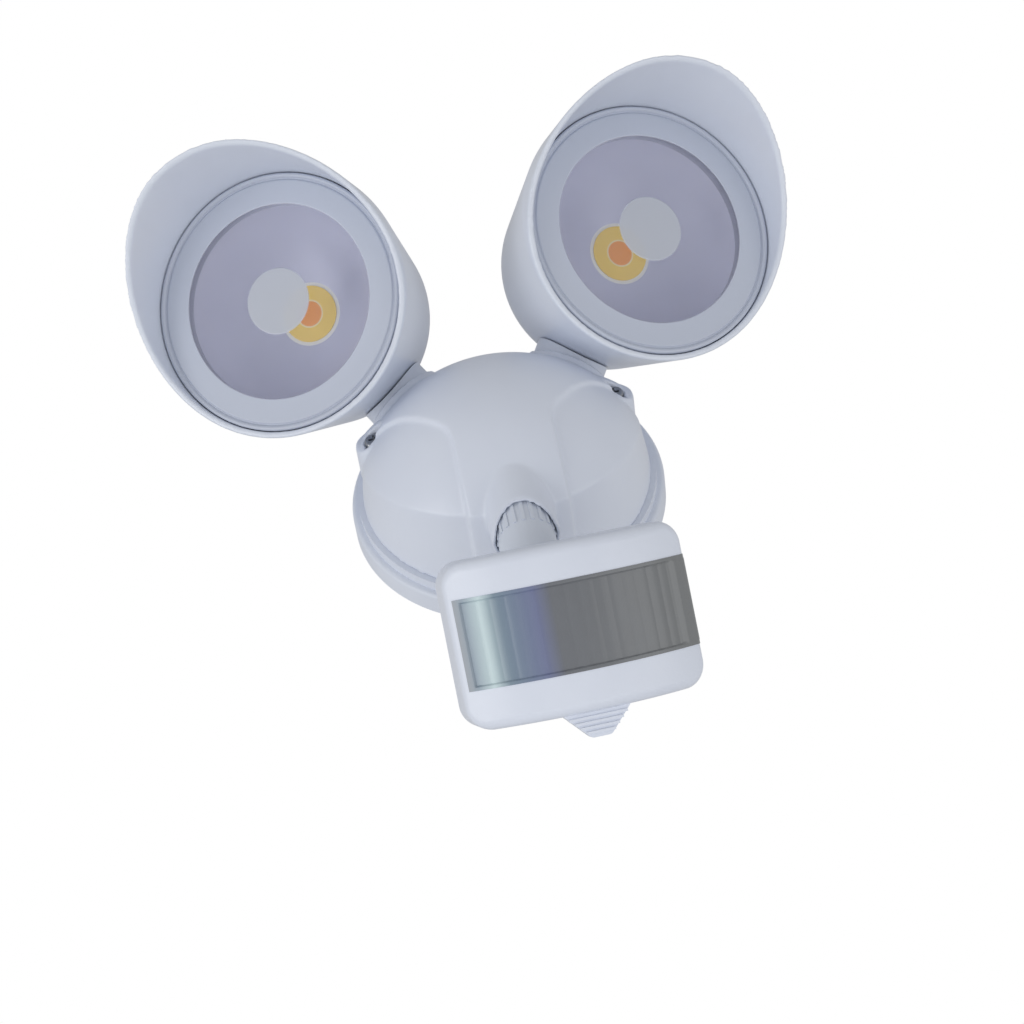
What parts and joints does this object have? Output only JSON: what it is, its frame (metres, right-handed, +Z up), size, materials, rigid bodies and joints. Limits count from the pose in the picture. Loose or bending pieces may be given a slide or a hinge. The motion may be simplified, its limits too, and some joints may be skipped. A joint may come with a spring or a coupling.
{
  "type": "motion sensor security light",
  "caption": "Wall-mounted security light: swivelling hooded lamp heads on a domed cover, with a ball-jointed motion sensor below.",
  "frame": {"origin": "centre of the back plate's rear face, on the wall", "axes": "+Z up, the light faces -Y away from the wall at Y = 0, +X to the right seen from the front"},
  "size_m": [0.2536, 0.1388, 0.271],
  "materials": {
    "white_cover": "satin moulded ABS",
    "white_plate": "satin moulded ABS",
    "white_housing": "satin moulded ABS",
    "white_collar": "satin moulded ABS",
    "white_nut": "satin moulded nylon",
    "white_sensor": "satin moulded ABS",
    "white_acetal": "moulded acetal",
    "clear_lens": "clear moulded polycarbonate",
    "black_rubber": "moulded rubber",
    "silver_reflector": "metallised plastic",
    "cast_aluminium": "die cast",
    "led_substrate": "white solder mask",
    "led_phosphor": "silicone phosphor",
    "zinc_steel": "zinc plated",
    "fresnel_film": "ribbed polyethylene film",
    "green_board": "glass epoxy with solder mask",
    "black_plastic": "moulded plastic",
    "sensor_can": "nickel plated can",
    "grey_dial": "moulded plastic"
  },
  "bodies": {
    "base": {"cover": "white_cover", "back_plate": "white_plate", "wall_gasket": "black_rubber", "cable_grommet": "black_rubber", "cover_screws": "zinc_steel", "terminal_block": "black_plastic", "driver_board": "green_board", "driver_components": "black_plastic", "driver_screws": "zinc_steel"},
    "swivel_right": {"collar_right": "white_collar", "swivel_nut_right": "white_collar", "swivel_seal_right": "black_rubber"},
    "head_right": {"housing_right": "white_housing", "lens_right": "clear_lens", "lens_gasket_right": "black_rubber", "reflector_right": "silver_reflector", "led_board_right": "led_substrate", "led_phosphor_right": "led_phosphor", "heat_sink_right": "cast_aluminium", "sink_screws_right": "zinc_steel", "pivot_pin_right": "zinc_steel"},
    "swivel_left": {"collar_left": "white_collar", "swivel_nut_left": "white_collar", "swivel_seal_left": "black_rubber"},
    "head_left": {"housing_left": "white_housing", "lens_left": "clear_lens", "lens_gasket_left": "black_rubber", "reflector_left": "silver_reflector", "led_board_left": "led_substrate", "led_phosphor_left": "led_phosphor", "heat_sink_left": "cast_aluminium", "sink_screws_left": "zinc_steel", "pivot_pin_left": "zinc_steel"},
    "lock_nut": {"lock_nut": "white_nut"},
    "ball_race": {"ball_race": "white_acetal"},
    "sensor_arm": {"sensor_arm": "white_collar"},
    "sensor": {"hinge_pin": "zinc_steel", "sensor_front": "white_sensor", "fresnel_lens": "fresnel_film", "sensor_back": "white_sensor", "sensor_screws": "zinc_steel", "sensor_board": "green_board", "pir_element": "sensor_can", "potentiometers": "black_plastic"},
    "time_dial": {"time_dial": "grey_dial"},
    "range_dial": {"range_dial": "grey_dial"},
    "light_dial": {"light_dial": "grey_dial"}
  },
  "joints": [
    {"name": "right_head_pan", "type": "hinge", "parent": "base", "child": "swivel_right", "pos_m": [0.05643, -0.04479, 0.07478], "axis": [0.5164, -0.3778, 0.7685], "range_deg": [-28, 35]},
    {"name": "right_head_tilt", "type": "hinge", "parent": "swivel_right", "child": "head_right", "pos_m": [0.05643, -0.04479, 0.07478], "axis": [-0.7946, -0.5459, 0.2656], "range_deg": [0, 40]},
    {"name": "left_head_pan", "type": "hinge", "parent": "base", "child": "swivel_left", "pos_m": [-0.05643, -0.04479, 0.07478], "axis": [0.5164, 0.3778, -0.7685], "range_deg": [-28, 35]},
    {"name": "left_head_tilt", "type": "hinge", "parent": "swivel_left", "child": "head_left", "pos_m": [-0.05643, -0.04479, 0.07478], "axis": [-0.7946, 0.5459, -0.2656], "range_deg": [0, 40]},
    {"name": "lock_nut_turn", "type": "hinge", "parent": "base", "child": "lock_nut", "pos_m": [0, -0.0458, -0.065], "axis": [0, 0, 1], "range_deg": [-180, 0]},
    {"name": "sensor_pan", "type": "hinge", "parent": "base", "child": "ball_race", "pos_m": [0, -0.0458, -0.0715], "axis": [0, 0, 1], "range_deg": [-40, 40]},
    {"name": "sensor_swing", "type": "hinge", "parent": "ball_race", "child": "sensor_arm", "pos_m": [0, -0.0458, -0.0715], "axis": [-0.8047, -0.5936, 0], "range_deg": [-15, 5]},
    {"name": "sensor_tilt", "type": "hinge", "parent": "sensor_arm", "child": "sensor", "pos_m": [0.0045, -0.0519, -0.0885], "axis": [0.9932, 0.0832, 0.0818], "range_deg": [-35, 25]},
    {"name": "time_dial_turn", "type": "hinge", "parent": "sensor", "child": "time_dial", "pos_m": [-0.00859, -0.03756, -0.11534], "axis": [-0.1167, 0.7084, 0.6961], "range_deg": [-135, 135]},
    {"name": "range_dial_turn", "type": "hinge", "parent": "sensor", "child": "range_dial", "pos_m": [0.00532, -0.03639, -0.1142], "axis": [-0.1167, 0.7084, 0.6961], "range_deg": [-135, 135]},
    {"name": "light_dial_turn", "type": "hinge", "parent": "sensor", "child": "light_dial", "pos_m": [0.01922, -0.03523, -0.11305], "axis": [-0.1167, 0.7084, 0.6961], "range_deg": [-135, 135]}
  ]
}
